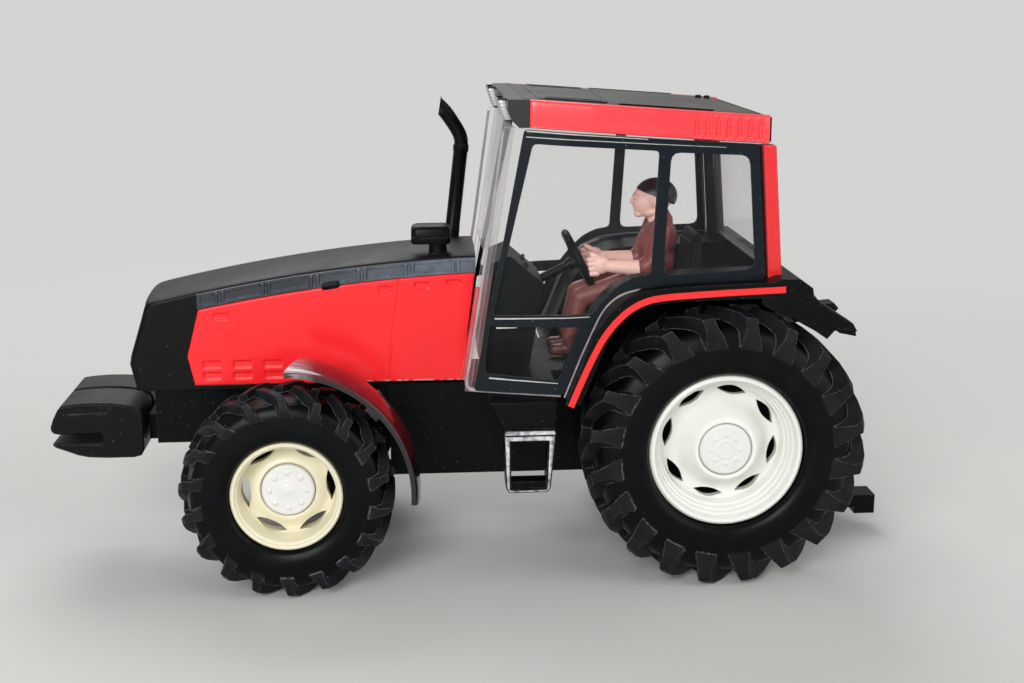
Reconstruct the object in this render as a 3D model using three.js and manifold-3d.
// Toy farm tractor, about 1:32, with a glazed cab, a seated driver figure and steered front wheels.
//
// Millimetres. +X runs forward, +Y to the tractor's left and +Z up, with the ground at z = 0.
// The origin lies on the ground under the middle of the toy's length and width. Everything is
// built in a group whose own x is measured from the rear axle.

import * as THREE from 'three';
import { mergeVertices } from 'three/addons/utils/BufferGeometryUtils.js';
import Module from 'manifold-3d';

const wasm = await Module();
wasm.setup();

// ---------------------------------------------------------------------------------------------
// Driving dimensions
// ---------------------------------------------------------------------------------------------

const wheelbase = 85.9;
const frontOverhang = 49.0;      // front axle to the face of the front weights
const rearOverhang = 40.0;       // rear axle to the tip of the tow hook
const roofHeight = 96.1;         // ground to the roof's front edge

const seam = 0.2;                // gap between mouldings that are pressed or clipped together
const running = 0.3;             // gap round a pin or axle that turns
const past = 1.0;                // how far a cutting tool runs past the face it cuts

// Wheels. "inner" and "outer" are the tyre's faces, measured from the tractor's midplane, and the
// rim's planes are measured inwards from the tyre's outer face.
const rearWheel = {
  radius: 28.05, inner: 17.8, outer: 34.3, rimRadius: 15.35, lip: 1.1, lipInset: 1.5, wellWall: 1.3,
  mouth: 2.2, discDepth: 10.6, discInset: 1.35, discThickness: 1.4, hubDepth: 2.4, hubRadius: 6.2,
  hubFlare: 2.4, hubWall: 1.6, capRadius: 5.2, capHeight: 1.2, pinRadius: 1.5,
};
const frontWheel = {
  radius: 20.97, inner: 20.6, outer: 34.0, rimRadius: 11.0, lip: 0.9, lipInset: 1.1, wellWall: 1.1,
  mouth: 2.2, discDepth: 6.9, discInset: 0.4, discThickness: 1.3, hubDepth: 5.5, hubRadius: 6.0,
  hubFlare: 2.4, hubWall: 1.4, capRadius: 5.2, capHeight: 1.3, pinRadius: 1.3,
};
const wheelSegments = 32;

// Hood, from the cab to the nose. "setback" is from the front weights' face to the nose.
const hood = {
  setback: 16.9, halfWidth: 12.3, rearTopZ: 64.1, drop: 8.84, straight: 0.304, crown: 0.9, shoulder: 1.5,
  chinZ: 37.3, chinDepth: 1.0, chinLength: 24.0, noseRake: 3.8, noseKneeZ: 43.6, lip: 0.4,
};
const panel = { thickness: 1.0, setback: 12.6, knee: 1.2, kneeZ: 44.5, strip: 3.5 };
const peg = 1.6;                 // depth of the sockets that the intake and the exhaust plug into
const intake = {
  setback: 7.1, y: 8.6, length: 8.0, width: 6.2, height: 3.8, lift: 2.2, corner: 1.2, stalkSetback: 5.7,
  stalk: 3.6,
};
const exhaust = { setback: 2.7, y: -10.4, lean: 2.8, height: 20.5, reach: 4.6, tipRise: 7.9, radius: 1.5 };

// Cab. Half widths are at the sill, at the screen, at the pillar behind the door and at the rear.
const cab = {
  frontX: 50.2, rearX: -9.8, screenHalf: 26.0, pillarHalf: 31.0, rearHalf: 29.4, pillarX: 14.0,
  doorRearX: 31.5, glass: 0.9, frame: 0.45, lean: 0.035, bulge: 2.0, rail: 2.7, sillDrop: 1.2,
  postInset: 3.0, postWidth: 2.5,
};
const roof = {
  frontX: 38.0, rearX: -8.0, fall: 3.4, height: 5.3, frontHalf: 26.2, midHalf: 28.2, rearHalf: 26.6,
  midX: 14, coverHalf: 24.0, coverSink: 0.9, coverInset: 1.6, visor: 4.3, podY: 18.0, podWidth: 7.0,
  pod: 5.9, podHeight: 4.5,
};
const floor = { thickness: 3.3, frontGap: 4.95, screenGap: 3.7 };

// Rear mudguards: gaps to the tyre in front, above and at its faces, then the moulding's own sizes.
const mudguard = {
  frontGap: 3.75, topGap: 4.9, innerGap: 2.6, outerInset: 1.1, wall: 1.2, skin: 1.4, flange: 2.9, hump: 1.2,
  flapInset: 4.8, flapLength: 9.4, flapDrop: 7.6,
};

// Chassis and running gear.
const chassis = { frameHalf: 8.4, gearGap: 19.9, gearHalf: 10.0, gearZ: 17.5, axleInset: 3.4, axleReach: 12.5 };
const kingpin = { y: 15.2, radius: 1.1, boss: 2.2, proud: 0.4 };
const beam = { halfDepth: 3.0, height: 8.0, plate: 1.5, webInset: 3.8 };
const steering = {
  armLength: 8.5, armHalf: 1.1, armPlate: 1.4, pinRadius: 0.7, pinDrop: 2.6, eyeRadius: 1.8,
  rodRadius: 0.7, rodHeight: 1.9,
};
const stub = { shoulderRadius: 2.0, shoulder: 0.3 };
const fender = {
  gap: 5.03, crown: 1.2, skin: 1.0, width: 12.4, startAngle: 88, endAngle: 190, strut: 1.5, strutWidth: 3.2,
  eyeRadius: 3.0,
};

const weights = {
  length: 18.8, standoff: 2.1, topZ: 34.9, height: 11.7, halfWidth: 12.0, groove: 1.0, carrierHalf: 6.5,
};
const step = {
  gap: 5.35, length: 10.2, inner: 25.6, width: 5.0, drop: 3.9, height: 12.8, bar: 1.5, topBar: 2.4,
};
const hook = { halfWidth: 3.0, z: 6.0, tip: 4.5, up: 1.6, down: 2.6, neck: 1.2 };
const linkBracket = { reach: 18.6, topZ: 50.8, depth: 2.3, halfWidth: 2.2 };

// Inside the cab.
const seat = { x: 1.5, length: 14.5, halfWidth: 6.8, height: 11.0, cushion: 4.0, backHeight: 11.5, back: 3.0 };
const dash = { gap: 3.0, length: 13.4, height: 22.8, halfWidth: 9.5 };
const wheel = { gap: 8.1, drop: 2.6, radius: 6.9, rim: 0.75, tilt: 26, columnLength: 8.0, columnRadius: 1.0 };

// Places that follow from those sizes.
const frontFaceX = wheelbase + frontOverhang;
const weightsRearX = frontFaceX - weights.length;
const chassisFrontX = weightsRearX - weights.standoff;
const noseX = frontFaceX - hood.setback;
const hoodRearX = cab.frontX - hood.lip;
const beamZ0 = frontWheel.radius - beam.height / 2;
const beamZ1 = beamZ0 + beam.height;
const wallBack = mudguard.wall + 0.3;
const hoodBottomZ = hood.chinZ + hood.chinDepth;
const chassisTopZ = hood.chinZ - seam;
const floorZ = chassisTopZ + seam + floor.thickness;
const sillZ = floorZ - cab.sillDrop;
const archFrontX = rearWheel.radius + mudguard.frontGap;
const archTopZ = 2 * rearWheel.radius + mudguard.topGap;
const humpTopZ = archTopZ + mudguard.hump;
const guardInner = rearWheel.inner - mudguard.innerGap;
const guardOuter = rearWheel.outer - mudguard.outerInset;
const tunnelHalf = guardInner - 2 * running;
const dashFrontX = cab.frontX - dash.gap;
const dashRearX = dashFrontX - dash.length;
const dashTopZ = floorZ + dash.height;
const cushionZ = floorZ + seat.height;
const wheelX = dashRearX - wheel.gap;
const wheelZ = dashTopZ - wheel.drop;

// ---------------------------------------------------------------------------------------------
// Materials
// ---------------------------------------------------------------------------------------------

const finish = (color, roughness, metalness = 0) =>
  new THREE.MeshStandardMaterial({ color, roughness, metalness });

const red = finish(0xd92a2c, 0.3);
const black = finish(0x15181b, 0.4);
const blackGloss = finish(0x1c2226, 0.2);
const cream = finish(0xe6dfc6, 0.4);
const white = finish(0xe9ebe6, 0.4);
const rubber = finish(0x0d100e, 0.7);
const steel = finish(0xa9acad, 0.35, 0.9);
const clear = finish(0xdfe6e6, 0.08);
const figure = finish(0x6b3a34, 0.5);
const darkGrey = finish(0x33373a, 0.6);

// ---------------------------------------------------------------------------------------------
// Helpers for shapes
// ---------------------------------------------------------------------------------------------

const degrees = THREE.MathUtils.degToRad;
const vectors = (points) => points.map(([a, b]) => new THREE.Vector2(a, b));

function box(x0, x1, y0, y1, z0, z1) {
  return new THREE.BoxGeometry(x1 - x0, y1 - y0, z1 - z0)
    .translate((x0 + x1) / 2, (y0 + y1) / 2, (z0 + z1) / 2);
}

// An outline in x and z, given thickness from y0 to y1.
function sidePlate(outline, y0, y1) {
  const shape = new THREE.Shape(vectors(outline));
  return new THREE.ExtrudeGeometry(shape, { depth: y1 - y0, bevelEnabled: false })
    .rotateX(Math.PI / 2)
    .translate(0, y1, 0);
}

// An outline in x and y, given height from z0 to z1 in a number of steps.
function planPlate(outline, z0, z1, steps = 1) {
  const shape = new THREE.Shape(vectors(outline));
  return new THREE.ExtrudeGeometry(shape, { depth: z1 - z0, steps, bevelEnabled: false }).translate(0, 0, z0);
}

// An outline in y and z, drawn out from x0 to x1 in a number of steps.
function frontPlate(outline, x0, x1, steps = 1) {
  const turn = new THREE.Matrix4().makeBasis(
    new THREE.Vector3(0, 1, 0), new THREE.Vector3(0, 0, 1), new THREE.Vector3(1, 0, 0));
  const shape = new THREE.Shape(vectors(outline));
  return new THREE.ExtrudeGeometry(shape, { depth: x1 - x0, steps, bevelEnabled: false })
    .applyMatrix4(turn)
    .translate(x0, 0, 0);
}

// Round bars along y and along z.
const barY = (radius, x, z, y0, y1, sides = 20) =>
  new THREE.CylinderGeometry(radius, radius, y1 - y0, sides).translate(x, (y0 + y1) / 2, z);
const barZ = (radius, x, y, z0, z1, sides = 20) =>
  new THREE.CylinderGeometry(radius, radius, z1 - z0, sides)
    .rotateX(Math.PI / 2)
    .translate(x, y, (z0 + z1) / 2);

// A round bar between two points.
function rod(radius, from, to, sides = 10) {
  const path = new THREE.LineCurve3(new THREE.Vector3(...from), new THREE.Vector3(...to));
  return pipe(radius, path, 1, sides);
}

function pipe(radius, path, steps, sides = 12) {
  const section = new THREE.Shape(vectors(circlePoints(radius, sides)));
  return new THREE.ExtrudeGeometry(section, { steps, bevelEnabled: false, extrudePath: path });
}

function circlePoints(radius, count) {
  return Array.from({ length: count }, (_, i) => {
    const angle = (i / count) * 2 * Math.PI;
    return [radius * Math.cos(angle), radius * Math.sin(angle)];
  });
}

// A body turned about the y axis from a closed profile of [radius, y] points, in either order.
function turned(profile, segments = wheelSegments) {
  const points = vectors(profile);
  if (THREE.ShapeUtils.area(points) < 0) points.reverse();
  return new THREE.LatheGeometry([...points, points[0]], segments);
}

const ball = (radius, x, y, z, sx = 1, sy = 1, sz = 1) =>
  new THREE.SphereGeometry(radius, 10, 7).rotateX(Math.PI / 2).scale(sx, sy, sz).translate(x, y, z);

// Welds a geometry's vertices and drops triangles that have no area.
function welded(geometry) {
  const bare = geometry.clone();
  bare.deleteAttribute('normal');
  bare.deleteAttribute('uv');
  const merged = mergeVertices(bare, 1e-4);
  const index = merged.index.array;
  const kept = [];
  for (let i = 0; i < index.length; i += 3) {
    const [a, b, c] = [index[i], index[i + 1], index[i + 2]];
    if (a !== b && b !== c && c !== a) kept.push(a, b, c);
  }
  merged.setIndex(kept);
  return merged;
}

function solid(geometry) {
  const merged = welded(geometry);
  return new wasm.Manifold(new wasm.Mesh({
    numProp: 3,
    vertProperties: merged.attributes.position.array,
    triVerts: new Uint32Array(merged.index.array),
  }));
}

function geometryOf(manifold) {
  const { vertProperties, triVerts } = manifold.getMesh();
  const geometry = new THREE.BufferGeometry();
  geometry.setAttribute('position', new THREE.BufferAttribute(vertProperties, 3));
  geometry.setIndex(new THREE.BufferAttribute(triVerts, 1));
  return geometry;
}

const join = (...pieces) => geometryOf(pieces.map(solid).reduce((all, next) => all.add(next)));
const cut = (piece, ...tools) =>
  geometryOf(tools.map(solid).reduce((rest, tool) => rest.subtract(tool), solid(piece)));
const common = (first, second) => geometryOf(solid(first).intersect(solid(second)));

// The same piece on the tractor's other side.
function mirrored(geometry) {
  const flipped = welded(geometry).scale(1, -1, 1);
  const index = Array.from(flipped.index.array);
  for (let i = 0; i < index.length; i += 3) [index[i + 1], index[i + 2]] = [index[i + 2], index[i + 1]];
  flipped.setIndex(index);
  return flipped;
}

// Moves every vertex of a geometry to where "move" says.
function moved(geometry, move) {
  const position = geometry.attributes.position;
  for (let i = 0; i < position.count; i += 1) {
    position.setXYZ(i, ...move(position.getX(i), position.getY(i), position.getZ(i)));
  }
  return geometry;
}

// The value at t on a line through (t0, a) and (t1, b).
const between = (t, t0, a, t1, b) => a + (b - a) * (t - t0) / (t1 - t0);

const tractor = new THREE.Group();
const body = new THREE.Group();
body.position.x = -(frontFaceX - rearOverhang) / 2;
tractor.add(body);

function place(name, geometry, material, parent = body) {
  const mesh = new THREE.Mesh(geometry, material);
  geometry.computeVertexNormals();
  mesh.name = name;
  parent.add(mesh);
}

function placePair(name, leftGeometry, material) {
  place(`${name}_left`, leftGeometry, material);
  place(`${name}_right`, mirrored(leftGeometry), material);
}

// ---------------------------------------------------------------------------------------------
// Wheels
// ---------------------------------------------------------------------------------------------

// Distances from the midplane to the rim's lip, its disc and the end of its hub.
const lipY = (w) => w.outer - w.lipInset;
const discY = (w) => lipY(w) - w.discDepth;
const hubY = (w) => lipY(w) - w.hubDepth;

// The tyre's section: bead, bulging sidewall, shoulder and a slightly crowned tread.
function tyre(w) {
  const middle = (w.inner + w.outer) / 2;
  const half = (w.outer - w.inner) / 2;
  const bead = lipY(w) - w.lip - seam - middle;
  const height = w.radius - w.rimRadius;
  const seat = w.rimRadius - w.lip + seam;
  const side = [
    [seat, bead],
    [w.rimRadius + seam, bead],
    [w.rimRadius + 0.15 * height, half - 0.6],
    [w.rimRadius + 0.45 * height, half],
    [w.rimRadius + 0.75 * height, half - 0.3],
    [w.radius - 0.6, half - 1.6],
    [w.radius, half - 3.4],
  ];
  const far = side.map(([r, y]) => [r, -y]).reverse();
  return turned([...side, ...far].map(([r, y]) => [r, y + middle]));
}

// The rim: flanged barrel, a disc set deep inside and a hub that stands out towards the cap.
function rim(w) {
  const seat = w.rimRadius - w.lip;
  const well = seat - w.wellWall;
  const lip = lipY(w);
  const disc = discY(w);
  const innerLip = w.inner + w.lipInset;
  const bore = w.pinRadius + running;
  return turned([
    [w.rimRadius, lip],
    [w.rimRadius - 0.9 * w.lip, lip],
    [well, lip - w.mouth],
    [well, disc + 0.8],
    [well - w.discInset, disc],
    [w.hubRadius + w.hubFlare, disc + 0.3],
    [w.hubRadius, hubY(w)],
    [bore, hubY(w)],
    [bore, disc - w.discThickness],
    [well, disc - w.discThickness],
    [well, innerLip + w.lip],
    [w.rimRadius - 0.9 * w.lip, innerLip],
    [w.rimRadius, innerLip],
    [w.rimRadius, innerLip + w.lip],
    [seat, innerLip + w.lip],
    [seat, lip - w.lip],
    [w.rimRadius, lip - w.lip],
  ]);
}

function hubCap(w) {
  const back = hubY(w) + seam;
  const front = back + w.capHeight;
  return new THREE.LatheGeometry(vectors([
    [0, back],
    [w.capRadius, back],
    [w.capRadius, front - 0.5],
    [w.capRadius - 0.5, front],
    [0, front + 0.3],
  ]), wheelSegments);
}

function wheelSet(name, w, x, rimMaterial) {
  for (const [side, turn] of [['left', 0], ['right', Math.PI]]) {
    const group = new THREE.Group();
    group.position.set(x, 0, w.radius);
    group.rotation.z = turn;
    body.add(group);
    place(`${name}_tyre_${side}`, tyre(w), rubber, group);
    place(`${name}_rim_${side}`, rim(w), rimMaterial, group);
    place(`${name}_hub_cap_${side}`, hubCap(w), white, group);
  }
}

wheelSet('rear', rearWheel, 0, white);
wheelSet('front', frontWheel, wheelbase, cream);

// ---------------------------------------------------------------------------------------------
// Chassis, axles and steering
// ---------------------------------------------------------------------------------------------

function chassisCasting() {
  const { frameHalf, gearHalf, axleReach } = chassis;
  const axleHalf = rearWheel.inner - chassis.axleInset;
  const frame = box(0, chassisFrontX, -frameHalf, frameHalf, beamZ1 + seam, chassisTopZ);
  const gearbox = box(0, wheelbase - chassis.gearGap, -gearHalf, gearHalf, chassis.gearZ, chassisTopZ);
  const axleHousing = box(-axleReach, axleReach, -axleHalf, axleHalf, chassis.gearZ - 0.5, chassisTopZ);
  const axleHole = barY(rearWheel.pinRadius + seam, 0, rearWheel.radius, -axleHalf - past, axleHalf + past);
  return cut(join(frame, gearbox, axleHousing), axleHole);
}

// The steel pin that both rear wheels turn on.
function rearAxle() {
  const end = hubY(rearWheel) - seam;
  return barY(rearWheel.pinRadius, 0, rearWheel.radius, -end, end);
}

// Beam under the frame with a forked end for each kingpin.
function frontBeam() {
  const x0 = wheelbase - beam.halfDepth;
  const x1 = wheelbase + beam.halfDepth;
  const webY = kingpin.y - beam.webInset;
  const bar = box(x0, x1, -webY, webY, beamZ0, beamZ1);
  const plates = [];
  for (const z of [beamZ0, beamZ1 - beam.plate]) {
    const half = kingpin.boss;
    plates.push(box(wheelbase - half, wheelbase + half, -kingpin.y, kingpin.y, z, z + beam.plate));
    for (const y of [-kingpin.y, kingpin.y]) plates.push(barZ(kingpin.boss, wheelbase, y, z, z + beam.plate));
  }
  const holes = [-kingpin.y, kingpin.y].map((y) =>
    barZ(kingpin.radius + running, wheelbase, y, beamZ0 - past, beamZ1 + past));
  return cut(join(bar, ...plates), ...holes);
}

// Place of the left steering arm's pin. Both arms point straight back, so the tie rod keeps its length.
const arm = {
  x: wheelbase - steering.armLength,
  y: kingpin.y,
  z: beamZ0 + beam.plate + running,
};

const shoulderY = kingpin.y + kingpin.boss + stub.shoulder;

// Left knuckle: kingpin, block, stub axle for the wheel and the arm that the tie rod pulls.
function knuckle() {
  const z0 = arm.z;
  const z1 = beamZ1 - beam.plate - running;
  const { armHalf, armPlate, pinRadius, pinDrop } = steering;
  const block = barZ(kingpin.boss, wheelbase, kingpin.y, z0, z1);
  const pin = barZ(kingpin.radius, wheelbase, kingpin.y, beamZ0 - kingpin.proud, z1 + beam.plate);
  const axle = barY(frontWheel.pinRadius, wheelbase, frontWheel.radius, kingpin.y, hubY(frontWheel) - seam);
  const shoulder = barY(stub.shoulderRadius, wheelbase, frontWheel.radius, kingpin.y, shoulderY);
  const lever = box(arm.x, wheelbase, arm.y - armHalf, arm.y + armHalf, z0, z0 + armPlate);
  const leverEnd = barZ(armHalf, arm.x, arm.y, z0, z0 + armPlate);
  const leverPin = barZ(pinRadius, arm.x, arm.y, z0 - pinDrop, z0 + armPlate);
  return join(block, pin, axle, shoulder, lever, leverEnd, leverPin);
}

function tieRod() {
  const z1 = arm.z - running;
  const z0 = z1 - steering.rodHeight;
  const eyes = [-1, 1].map((side) => barZ(steering.eyeRadius, arm.x, side * arm.y, z0, z1));
  const bar = barY(steering.rodRadius, arm.x, (z0 + z1) / 2, -arm.y, arm.y);
  const holes = [-1, 1].map((side) =>
    barZ(steering.pinRadius + running, arm.x, side * arm.y, z0 - past, z1 + past));
  return cut(join(bar, ...eyes), ...holes);
}

// Left front fender: part of a crowned ring over the tyre, carried by a strut from the stub axle.
function frontFender() {
  const outer = frontWheel.outer;
  const inner = outer - fender.width;
  const middle = (inner + outer) / 2;
  const crown = frontWheel.radius + fender.gap;
  const edge = crown - fender.crown;
  const upper = edge + 0.8 * fender.crown;
  const lower = edge + 0.6 * fender.crown - fender.skin;
  const round = 1.6;
  const ring = turned([
    [edge, inner], [upper, inner + round], [crown, middle], [upper, outer - round], [edge, outer],
    [edge - fender.skin, outer], [lower, outer - 1.5 * round], [crown - fender.skin, middle],
    [lower, inner + 1.5 * round], [edge - fender.skin, inner],
  ], 48).translate(wheelbase, 0, frontWheel.radius);
  const reach = 2 * crown;
  const sector = [[0, 0]];
  for (let i = 0; i <= 4; i += 1) {
    const angle = degrees(between(i, 0, fender.startAngle, 4, fender.endAngle));
    sector.push([reach * Math.cos(angle), reach * Math.sin(angle)]);
  }
  const wedge = sidePlate(sector.map(([x, z]) => [x + wheelbase, z + frontWheel.radius]),
    inner - past, outer + past);
  const y0 = shoulderY + seam;
  const y1 = y0 + fender.strut;
  const x0 = wheelbase - fender.strutWidth;
  const top = frontWheel.radius + edge - seam;
  const eye = barY(fender.eyeRadius, wheelbase, frontWheel.radius, y0, y1);
  const strut = box(x0, wheelbase, y0, y1, frontWheel.radius, top);
  const shelf = box(x0, wheelbase - 0.6, y0, inner + fender.strut, top - fender.skin, top);
  const hole = barY(frontWheel.pinRadius + seam, wheelbase, frontWheel.radius, y0 - past, y1 + past);
  return cut(join(common(ring, wedge), eye, strut, shelf), hole);
}

place('chassis', chassisCasting(), black);
place('rear_axle', rearAxle(), steel);
place('front_axle_beam', frontBeam(), black);
placePair('knuckle', knuckle(), black);
place('tie_rod', tieRod(), black);
placePair('front_fender', frontFender(), blackGloss);

// ---------------------------------------------------------------------------------------------
// Hood
// ---------------------------------------------------------------------------------------------

const noseTopX = noseX - hood.noseRake;

// Height of the hood's top edge, which falls ever faster towards the nose.
function hoodEdgeZ(x) {
  const t = (x - hoodRearX) / (noseTopX - hoodRearX);
  return hood.rearTopZ - hood.drop * (hood.straight * t + (1 - hood.straight) * t * t);
}

// The red side panel's outline, made larger all round by "grow".
function panelOutline(grow) {
  const frontX = noseX - panel.setback;
  const rearX = hoodRearX - (grow > 0 ? past : 0);
  const top = (x) => [x, hoodEdgeZ(x) - panel.strip + grow];
  const topFrontX = frontX - panel.knee + grow;
  return [
    [rearX, hoodBottomZ - grow],
    [frontX + grow, hoodBottomZ - grow],
    [frontX + panel.knee + grow, panel.kneeZ],
    ...[0, 0.25, 0.5, 0.75, 1].map((t) => top(between(t, 0, topFrontX, 1, rearX))),
  ];
}

// Black top and nose in one moulding, with recesses for the side panels and sockets on top.
function hoodTop() {
  const h = hood.halfWidth;
  const edge = hood.rearTopZ;
  const above = edge + hood.crown + past;
  const halfSection = [
    [h, hood.chinZ - past],
    [h, edge - hood.shoulder],
    [h - 0.3 * hood.shoulder, edge - 0.35 * hood.shoulder],
    [h - hood.shoulder, edge],
    [h / 2, edge + 0.7 * hood.crown],
    [0, edge + hood.crown],
  ];
  const otherHalf = halfSection.slice(0, -1).reverse().map(([y, z]) => [-y, z]);
  const bulk = moved(
    frontPlate([...halfSection, ...otherHalf], hoodRearX, noseX + past, 14),
    (x, y, z) => [x, y, z > hood.noseKneeZ ? z + hoodEdgeZ(x) - edge : z]);
  const chinRearX = noseX - hood.chinLength;
  const side = sidePlate([
    [hoodRearX, hoodBottomZ], [chinRearX, hoodBottomZ], [chinRearX, hood.chinZ], [noseX - 1.2, hood.chinZ],
    [noseX, hood.noseKneeZ], [noseTopX, hoodEdgeZ(noseTopX)], [noseTopX - 2, above], [hoodRearX, above],
  ], -h - past, h + past);
  const nose = [[0, 0.2], [0.4, 0.55], [2, 0.85], [5, 1]];
  const halfPlan = nose.map(([back, share]) => [noseX - back, share * h]);
  halfPlan.push([noseX - 6, h + past], [0, h + past]);
  const plan = planPlate([...halfPlan, ...halfPlan.slice().reverse().map(([x, y]) => [x, -y])],
    hood.chinZ - past, above);
  const recess = h - panel.thickness - seam;
  const pockets = [
    sidePlate(panelOutline(seam), recess, h + past),
    sidePlate(panelOutline(seam), -h - past, -recess),
  ];
  const half = intake.stalk / 2 + seam;
  const stalkX = hoodRearX + intake.stalkSetback;
  const sockets = [
    box(stalkX - half, stalkX + half, intake.y - half, intake.y + half, edge - peg, above),
    barZ(exhaust.radius + 2 * seam, hoodRearX + exhaust.setback, exhaust.y, edge - peg, above),
  ];
  return cut(common(common(bulk, side), plan), ...pockets, ...sockets);
}

const hoodSidePanel = () =>
  sidePlate(panelOutline(0), hood.halfWidth - panel.thickness, hood.halfWidth);

function airIntake() {
  const r = intake.corner;
  const x0 = hoodRearX + intake.setback - intake.length / 2;
  const x1 = x0 + intake.length;
  const z0 = hood.rearTopZ + intake.lift;
  const z1 = z0 + intake.height;
  const cap = sidePlate([[x0, z0], [x1, z0], [x1, z1 - r], [x1 - r, z1], [x0 + r, z1], [x0, z1 - r]],
    intake.y - intake.width / 2, intake.y + intake.width / 2);
  const half = intake.stalk / 2;
  const stalkX = hoodRearX + intake.stalkSetback;
  const stalk = box(stalkX - half, stalkX + half, intake.y - half, intake.y + half,
    hood.rearTopZ - peg + seam, z0 + past);
  return join(cap, stalk);
}

// Pipe that leans back to the cab, then bends forward to a tip cut upright.
function exhaustPipe() {
  const at = (x, z) => new THREE.Vector3(x, exhaust.y, z);
  const footX = hoodRearX + exhaust.setback;
  const elbowX = footX - exhaust.lean;
  const elbowZ = hood.rearTopZ + exhaust.height;
  const foot = at(footX, hood.rearTopZ - peg + seam);
  const bendStart = at(elbowX + 0.3, elbowZ - 2.4);
  const tipX = elbowX + exhaust.reach;
  const tipZ = elbowZ + exhaust.tipRise;
  const path = new THREE.CatmullRomCurve3([
    foot, foot.clone().lerp(bendStart, 0.5), bendStart, at(elbowX, elbowZ + 0.6),
    at(elbowX + 2.0, elbowZ + 4.4), at(tipX + 2.2, tipZ + 2.6),
  ]);
  const tube = pipe(exhaust.radius, path, 16);
  const reach = 4 * exhaust.radius;
  const beyond = box(tipX, tipX + 2 * reach, exhaust.y - reach, exhaust.y + reach,
    tipZ - reach, tipZ + 2 * reach);
  return cut(tube, beyond);
}

place('hood_top', hoodTop(), blackGloss);
placePair('hood_side', hoodSidePanel(), red);
place('air_intake', airIntake(), black);
place('exhaust', exhaustPipe(), black);

// ---------------------------------------------------------------------------------------------
// Front weights and tow hook
// ---------------------------------------------------------------------------------------------

function frontWeights() {
  const front = frontFaceX;
  const top = weights.topZ;
  const low = top - weights.height;
  const block = sidePlate([
    [weightsRearX, low], [front - 6, low], [front - 2, low + 1.6], [front - 0.4, low + 3.2],
    [front - 1.6, low + 3.6], [front - 1.2, low + 5.2], [front - 0.3, low + 5.6], [front, low + 6.6],
    [front - 2.2, top - 0.6], [front - 7.4, top], [front - 12, top], [front - 16.6, top - 0.8],
    [weightsRearX, top - 2.6],
  ], -weights.halfWidth, weights.halfWidth);
  const half = weights.groove / 2;
  return cut(block, box(weightsRearX + 2, front + past, -half, half, top - 1.2, top + past));
}

const weightCarrier = () => box(chassisFrontX + seam, weightsRearX - seam,
  -weights.carrierHalf, weights.carrierHalf, beamZ1 + 3 * seam, weights.topZ - 4);

function towHook() {
  const tipX = -rearOverhang;
  const wallX = -chassis.axleReach - seam;
  const mountZ = chassis.gearZ + 2.5;
  const neckTop = hook.z + hook.up;
  const neckLow = hook.z - hook.neck;
  const bar = sidePlate([
    [wallX, mountZ], [wallX, mountZ + 6], [wallX - 2.3, mountZ + 6], [wallX - 4.8, neckTop], [tipX + 4, neckTop],
    [tipX + 4, neckLow], [wallX - 3.2, neckLow],
  ], -hook.halfWidth, hook.halfWidth);
  const tip = box(tipX, tipX + hook.tip, -hook.halfWidth, hook.halfWidth, hook.z - hook.down, neckTop);
  return join(bar, tip);
}

// Stub behind the cab that stands for the hitch's upper link.
function topLinkBracket() {
  const wallX = cab.rearX - wallBack - seam;
  const tipX = wallX - linkBracket.reach;
  const top = linkBracket.topZ;
  const { depth, halfWidth } = linkBracket;
  return sidePlate([
    [wallX, top - 3 * depth], [wallX, top - 0.65 * depth], [tipX + 1, top], [tipX, top - depth / 2],
    [tipX + 1, top - depth], [wallX - 5, top - 2.2 * depth],
  ], -halfWidth, halfWidth);
}

place('front_weights', frontWeights(), black);
place('weight_carrier', weightCarrier(), black);
place('tow_hook', towHook(), black);
place('top_link_bracket', topLinkBracket(), black);

// ---------------------------------------------------------------------------------------------
// Cab shell
// ---------------------------------------------------------------------------------------------

// Half the cab's width at sill height along its length, as x and half-width pairs.
const sideStations = [
  [cab.frontX + 2, cab.screenHalf - 0.4],
  [cab.frontX - 8, cab.screenHalf + 2.2],
  [cab.doorRearX, cab.pillarHalf - 0.5],
  [cab.pillarX, cab.pillarHalf],
  [0, cab.pillarHalf - 0.5],
  [cab.rearX - 2, cab.rearHalf],
];
const roofTopZ = (x) => between(x, roof.rearX, roofHeight - roof.fall, roof.frontX, roofHeight);
const roofUnderZ = (x) => roofTopZ(x) - roof.height - seam;

// Upright sheet that follows the cab's left side, from "depth" inside the side's outer face.
function sideSheet(depth, thickness) {
  const outer = sideStations.map(([x, y]) => [x, y - depth]);
  const inner = sideStations.map(([x, y]) => [x, y - depth - thickness]).reverse();
  return planPlate([...outer, ...inner], 0, roofHeight + past);
}

// Leans a left-hand cab side inwards above the sill.
const leanIn = (geometry) => moved(geometry, (x, y, z) => [x, y - cab.lean * (z - sillZ), z]);

// Edge of the mudguard's arch, from the sill in front of the wheel over to the back: how far each
// point lies behind the arch's foot, and its share of the arch's height above the sill.
const archFootZ = chassisTopZ + 1.1;
const archHeight = archTopZ - archFootZ;
const archOutline = [
  [0, 0], [3.5, 0.386], [5.4, 0.596], [8.0, 0.763], [11.0, 0.895], [14.8, 0.969], [21.2, 1.0],
].map(([back, share]) => [archFrontX - back, archFootZ + share * archHeight]);
const guardRearX = cab.rearX + 1.8;
archOutline.push([guardRearX, archTopZ + mudguard.hump / 2]);

// The arch moved outwards from the wheel, as the cab's frame follows it.
const archOffset = (gap) => archOutline.slice(1, -1).reverse().map(([x, z]) => [x + 0.8 * gap, z + gap]);

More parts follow.
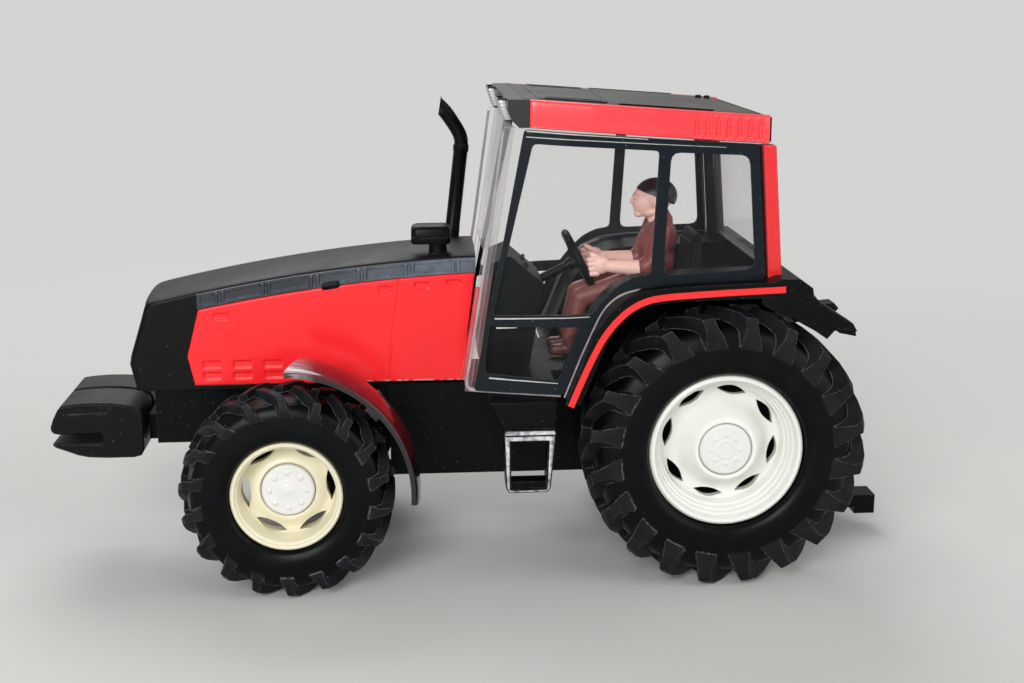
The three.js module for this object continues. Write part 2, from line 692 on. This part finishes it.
// Edges of the cab's side: the screen's edge, the pillar painted behind it and the rear post.
const postFootZ = humpTopZ + seam;
const headZ = roofUnderZ(roof.frontX);
const screenEdgeX = (z) => between(z, sillZ, cab.frontX + 0.7, headZ, roof.frontX + 4.9);
const pillarFrontX = (z) => between(z, sillZ, cab.frontX - 1.1, headZ, roof.frontX + 1.7);
const postFrontX = (z) => between(z, postFootZ, cab.rearX + 2.5, headZ, roof.rearX + 2.9);

// The cab side's outline between the sill, the roof, the screen and the rear post.
function cabSideOutline(frontX, gap) {
  return [
    [frontX(sillZ), sillZ],
    [frontX(headZ), roofUnderZ(frontX(headZ))],
    [postFrontX(headZ) + gap, roofUnderZ(postFrontX(headZ))],
    [postFrontX(postFootZ) + gap, archTopZ + 0.7 + gap],
    ...archOffset(0.5),
    [archFrontX + gap, sillZ],
  ];
}

const sideGlass = () => leanIn(common(
  sidePlate(cabSideOutline(screenEdgeX, seam + 0.1), 0, 2 * cab.pillarHalf),
  sideSheet(cab.frame + seam / 2, cab.glass)));

// Painted frame over the glazing, with the upper and lower door lights and the rear light open.
function sideFrame() {
  const through = [-past, 2 * cab.pillarHalf];
  const outline = sidePlate(cabSideOutline(pillarFrontX, 3 * seam), ...through);
  const railZ = (x) => roofUnderZ(x) - cab.rail;
  const crossZ = floorZ + 14.6;
  const behindPillar = (z, width) => [pillarFrontX(z) - width, z];
  const upperFrontX = pillarFrontX(headZ) - 1.7;
  const bend = archOutline.slice(2, 5).map(([x, z]) => [x + 0.6, z + 4.3]);
  const doorLight = sidePlate([
    [upperFrontX, railZ(upperFrontX)], [cab.pillarX + 0.5, railZ(cab.pillarX)],
    [cab.pillarX + 2, archTopZ + 2.6], [cab.pillarX + 6.6, archTopZ + 1.4], ...bend.reverse(),
    [archFrontX - 4.2, crossZ], behindPillar(crossZ, 1.0),
  ], ...through);
  const lowerLight = sidePlate([
    behindPillar(crossZ - 1.6, 0.9), [archFrontX - 3.2, crossZ - 1.3], [archFrontX + 1.1, sillZ + 3.2],
    behindPillar(sillZ + 3.2, 1.4),
  ], ...through);
  const rearFootX = postFrontX(postFootZ) + 2.4;
  const rearHeadX = postFrontX(headZ) + 2.4;
  const rearLight = sidePlate([
    [cab.pillarX - 2, railZ(cab.pillarX)], [rearHeadX, railZ(rearHeadX)], [rearFootX, archTopZ + 3],
    [cab.pillarX - 1.2, archTopZ + 2.8],
  ], ...through);
  return leanIn(cut(common(outline, sideSheet(0, cab.frame)), doorLight, lowerLight, rearLight));
}

// Half the clear width between the cab's sides at x and z.
function insideHalf(x, z) {
  const at = sideStations.findIndex(([stationX]) => stationX < x);
  const [[x0, y0], [x1, y1]] = sideStations.slice(at - 1, at + 1);
  return between(x, x0, y0, x1, y1) - cab.lean * (z - sillZ) - cab.frame - cab.glass - 2 * seam;
}

// Windscreen between the cab's sides, bulging forward at its foot, notched round the hood.
function windscreen() {
  const shares = [-1, -0.66, -0.33, 0, 0.33, 0.66, 1];
  const outer = shares.map((share) => [0, share]);
  const inner = shares.map((share) => [-cab.glass, share]).reverse();
  const sheet = moved(planPlate([...outer, ...inner], sillZ, headZ + 2, 4), (depth, share, z) => {
    const edgeX = screenEdgeX(z) - 1.1;
    const bulge = cab.bulge * between(z, sillZ, 1, headZ, 0);
    return [edgeX + bulge * (1 - share * share) + depth, share * insideHalf(edgeX - cab.glass, z), z];
  });
  const notchHalf = hood.halfWidth + 0.5;
  const notch = box(cab.frontX - 20, cab.frontX + 20, -notchHalf, notchHalf,
    sillZ - past, hood.rearTopZ + hood.crown + 2 * seam);
  const above = sidePlate([
    [0, roofUnderZ(0)], [cab.frontX + 20, roofUnderZ(cab.frontX + 20)], [cab.frontX + 20, roofHeight + 20],
    [0, roofHeight + 20],
  ], -2 * cab.pillarHalf, 2 * cab.pillarHalf);
  return cut(sheet, notch, above);
}

// Rear glass between the two corner posts, narrower at the roof.
function rearWindow() {
  const z0 = postFootZ;
  const z1 = roofUnderZ(roof.rearX);
  const half = (z) => cab.rearHalf - cab.postInset - seam - cab.lean * (z - sillZ);
  const sheet = frontPlate([[-half(z0), z0], [half(z0), z0], [half(z1), z1], [-half(z1), z1]], 0, cab.glass);
  return moved(sheet, (x, y, z) => [x + postFrontX(z) - cab.postWidth, y, z]);
}

const rearPost = () => leanIn(sidePlate([
  [postFrontX(postFootZ) - seam, postFootZ],
  [postFrontX(postFootZ) - cab.postWidth - seam, postFootZ],
  [postFrontX(headZ) - cab.postWidth - seam, roofUnderZ(roof.rearX)],
  [postFrontX(headZ) - seam, roofUnderZ(postFrontX(headZ) - seam)],
], cab.rearHalf - cab.postInset, cab.rearHalf - seam));

// Floor on the chassis, wide in front of the rear wheels, with the low wall behind the seat.
function cabFloor() {
  const low = chassisTopZ + seam;
  const wideX = rearWheel.radius + floor.frontGap;
  const frontX = cab.frontX - floor.screenGap;
  const rearX = cab.rearX - wallBack;
  const tunnel = box(rearX, wideX + past, -tunnelHalf, tunnelHalf, low, floorZ);
  const wide = insideHalf(wideX, sillZ);
  const narrow = insideHalf(frontX, sillZ);
  const front = planPlate([[wideX, -wide], [frontX, -narrow], [frontX, narrow], [wideX, wide]], low, floorZ);
  const rearWall = box(rearX, rearX + mudguard.wall, -tunnelHalf, tunnelHalf, low, postFootZ - seam);
  return join(tunnel, front, rearWall);
}

// Left mudguard: arch over the tyre, wall towards the seat, outer flange and rear flap.
function rearMudguard() {
  const { skin, flange, wall } = mudguard;
  const rearX = guardRearX - 8.1;
  const top = [...archOutline, [guardRearX - 1.6, humpTopZ], [rearX + 2.9, humpTopZ], [rearX + 0.4, humpTopZ - 1.8],
    [rearX, humpTopZ - 4.3]];
  const inset = (depth) => archOutline.map(([x, z], i) => {
    const share = i / (archOutline.length - 1);
    return [x - depth * Math.cos(share * Math.PI / 2), z - depth * Math.sin(share * Math.PI / 2)];
  }).reverse();
  const rearUnder = [[rearX + 1.5, humpTopZ - 4.8], [rearX + 1.9, humpTopZ - 2.6], [rearX + 3.3, humpTopZ - 1.6]];
  const arch = sidePlate([...top, ...rearUnder, ...inset(skin)], guardInner, guardOuter);
  const flangePlate = sidePlate([...top, [rearX + 1.9, archTopZ - flange], ...inset(flange)],
    guardOuter - wall, guardOuter);
  const wallFoot = floorZ - 1.8;
  const sideWall = sidePlate([
    ...archOutline, [rearX + 2.9, humpTopZ], [rearX + 2.9, wallFoot + 5], [rearX + 7, wallFoot],
    [archFrontX - 0.8, wallFoot],
  ], guardInner, guardInner + wall);
  const flapX = rearX - mudguard.flapLength;
  const flapZ = humpTopZ - 3.2 - mudguard.flapDrop;
  const flap = sidePlate([
    [rearX + 0.5, humpTopZ - 3.2], [flapX, flapZ], [flapX - 0.2, flapZ - 1.5], [flapX + 3.2, flapZ - 0.8],
    [rearX - 0.3, humpTopZ - 5.8], [rearX + 1.3, humpTopZ - 4.6],
  ], guardInner, rearWheel.outer - mudguard.flapInset);
  return join(arch, flangePlate, sideWall, flap);
}

// Step: bracket under the floor with an open frame below it.
function stepFrame() {
  const x0 = rearWheel.radius + step.gap;
  const x1 = x0 + step.length;
  const bracketZ = chassisTopZ;
  const topZ = bracketZ - step.drop;
  const lowZ = topZ - step.height;
  const outer = step.inner + step.width;
  const { bar, topBar } = step;
  const bracket = sidePlate([
    [x1 + 2.2, bracketZ], [x1, topZ - 1], [x0, topZ - 1], [x0 - 0.9, bracketZ],
  ], step.inner, outer - 1);
  const frame = sidePlate([[x0, topZ], [x1, topZ], [x1 - 0.5, lowZ], [x0 + 0.9, lowZ]], step.inner, outer);
  const opening = sidePlate([
    [x0 + bar, topZ - topBar], [x1 - bar, topZ - topBar], [x1 - bar - 0.3, lowZ + bar], [x0 + bar + 0.5, lowZ + bar],
  ], step.inner - past, outer + past);
  return cut(join(bracket, frame), opening);
}

placePair('side_glass', sideGlass(), clear);
placePair('side_frame', sideFrame(), blackGloss);
place('windscreen', windscreen(), clear);
place('rear_window', rearWindow(), clear);
placePair('rear_post', rearPost(), red);
place('cab_floor', cabFloor(), black);
placePair('mudguard', rearMudguard(), black);
placePair('step', stepFrame(), black);

// ---------------------------------------------------------------------------------------------
// Roof
// ---------------------------------------------------------------------------------------------

// The band's outline from above, bulging a little at its sides.
function roofPlan() {
  const { frontX, rearX, midX, frontHalf, midHalf, rearHalf } = roof;
  const left = [
    [frontX, frontHalf], [(frontX + midX) / 2, between(0.65, 0, frontHalf, 1, midHalf)], [midX, midHalf],
    [(midX + rearX) / 2, between(0.7, 0, rearHalf, 1, midHalf)], [rearX, rearHalf],
  ];
  return [...left, ...left.slice().reverse().map(([x, y]) => [x, -y])];
}

const coverEdgeX = roof.rearX + roof.coverInset;

// Red band with its ceiling, and a shallow tray on top for the cover.
function roofShell() {
  const far = 2 * roof.midHalf;
  const aboveZ = roofHeight + 10;
  const profile = sidePlate([
    [roof.rearX, roofTopZ(roof.rearX) - roof.height], [roof.frontX, roofTopZ(roof.frontX) - roof.height],
    [roof.frontX - 0.6, roofTopZ(roof.frontX)], [roof.rearX, roofTopZ(roof.rearX)],
  ], -far, far);
  const plan = planPlate(roofPlan(), roofHeight - 2 * roof.height - roof.fall, aboveZ);
  const frontX = roof.frontX + 5;
  const tray = sidePlate([
    [coverEdgeX, roofTopZ(coverEdgeX) - roof.coverSink], [frontX, roofTopZ(frontX) - roof.coverSink],
    [frontX, aboveZ], [coverEdgeX, aboveZ],
  ], -roof.coverHalf, roof.coverHalf);
  return cut(common(profile, plan), tray);
}

// Dark cover in the tray, running forward into the visor and its two lamp housings.
function roofCover() {
  const sunk = roof.coverSink - seam;
  const coverRear = coverEdgeX + seam;
  const frontX = roof.frontX;
  const half = roof.coverHalf - seam;
  const deck = sidePlate([
    [coverRear, roofTopZ(coverRear) - sunk], [frontX + 1, roofTopZ(frontX + 1) - sunk],
    [frontX + 1, roofTopZ(frontX + 1)], [coverRear, roofTopZ(coverRear)],
  ], -half, half);
  const top = roofHeight;
  const visorX = frontX + roof.visor;
  const visor = sidePlate([
    [frontX + seam, top - roof.height], [frontX + 2.1, top - roof.height], [visorX - 1.0, top - 4.1],
    [visorX, top - 1.9], [visorX - 0.1, top], [frontX + seam - 0.1, top],
  ], -roof.frontHalf, roof.frontHalf);
  const podX = frontX + roof.pod;
  const pods = [-roof.podY, roof.podY].map((y) => sidePlate([
    [visorX - 2, top - roof.podHeight], [podX - 1.4, top - roof.podHeight], [podX, top], [visorX - 2, top],
  ], y - roof.podWidth / 2, y + roof.podWidth / 2));
  return join(deck, visor, ...pods);
}

place('roof_shell', roofShell(), red);
place('roof_cover', roofCover(), darkGrey);

// ---------------------------------------------------------------------------------------------
// Inside the cab
// ---------------------------------------------------------------------------------------------

function driverSeat() {
  const x1 = seat.x + seat.length;
  const top = cushionZ + seat.cushion;
  const backTop = top + seat.backHeight;
  const base = box(seat.x + 2, x1 - 4, 1.5 - seat.halfWidth, seat.halfWidth - 1.5, floorZ, cushionZ + 0.5);
  const cushion = sidePlate([
    [seat.x, cushionZ], [x1, cushionZ], [x1, cushionZ + 0.6], [seat.x + 8, top], [seat.x, top],
  ], -seat.halfWidth, seat.halfWidth);
  const back = sidePlate([
    [seat.x, cushionZ + 1], [seat.x + seat.back, cushionZ + 1], [seat.x + seat.back - 1.2, backTop],
    [seat.x - 1.2, backTop],
  ], 0.5 - seat.halfWidth, seat.halfWidth - 0.5);
  return join(base, cushion, back);
}

const dashConsole = () => sidePlate([
  [dashRearX + 3, floorZ + seam], [dashFrontX, floorZ + seam], [dashFrontX - 2.6, dashTopZ - 1.5],
  [dashRearX + 7, dashTopZ], [dashRearX, dashTopZ - 6.0],
], -dash.halfWidth, dash.halfWidth);

// Steering wheel with its column, which ends at the console.
function steeringWheel() {
  const reach = wheel.radius - wheel.rim;
  const ring = new THREE.TorusGeometry(reach, wheel.rim, 6, 20);
  const spokes = [0, 120, 240].map((angle) =>
    new THREE.BoxGeometry(reach, 1.2, 0.8).translate(reach / 2, 0, 0).rotateZ(degrees(angle + 90)));
  const hub = new THREE.CylinderGeometry(1.5, 1.5, 1.4, 14).rotateX(Math.PI / 2);
  const column = new THREE.CylinderGeometry(wheel.columnRadius, wheel.columnRadius, wheel.columnLength, 12)
    .rotateX(Math.PI / 2).translate(0, 0, -wheel.columnLength / 2);
  const whole = join(ring, ...spokes, hub, column);
  return whole.rotateZ(Math.PI / 2).rotateY(degrees(wheel.tilt - 90))
    .translate(wheelX, 0, wheelZ);
}

// Seated figure: torso, head, arms reaching to the wheel and legs down to the floor.
function driverFigure() {
  const top = cushionZ + seat.cushion + seam;
  const hipX = seat.x + 8.0;
  const torso = sidePlate([
    [hipX - 4.0, top], [hipX + 4.0, top], [hipX + 4.4, top + 5], [hipX + 2.6, top + 13.2],
    [hipX - 3.0, top + 13.2], [hipX - 4.2, top + 8],
  ], -4.6, 4.6);
  const shoulders = barY(2.2, hipX - 0.2, top + 11.2, -6.2, 6.2, 12);
  const neck = barZ(1.7, hipX, 0, top + 12, top + 15.5, 12);
  const head = ball(4.0, hipX + 0.6, 0, top + 17.6, 1.08, 0.84, 1.12);
  const limbs = [];
  for (const side of [-1, 1]) {
    const y = side * 4.4;
    const shoulder = [hipX - 0.2, side * 5.6, top + 11.2];
    const elbow = [hipX + 4.2, side * 6.4, top + 6.0];
    const wrist = [wheelX - 3.6, side * 6.2, wheelZ + 2.0];
    const hip = [hipX, side * 3.0, top + 2.4];
    const knee = [hipX + 14.0, y, top - 3.4];
    const ankle = [hipX + 18.0, y, floorZ + 3];
    limbs.push(
      rod(1.6, shoulder, elbow), ball(1.7, ...elbow), rod(1.4, elbow, wrist),
      ball(1.8, wrist[0] + 0.6, wrist[1], wrist[2] + 0.2, 1.1, 0.8, 0.9),
      rod(2.2, hip, knee), ball(2.2, ...knee), rod(1.8, knee, ankle),
      box(ankle[0] - 1.6, ankle[0] + 5.2, y - 1.7, y + 1.7, floorZ + seam, floorZ + 3.6));
  }
  return join(torso, shoulders, neck, head, ...limbs);
}

place('seat', driverSeat(), darkGrey);
place('dash_console', dashConsole(), black);
place('steering_wheel', steeringWheel(), black);
place('driver', driverFigure(), figure);

export default tractor;
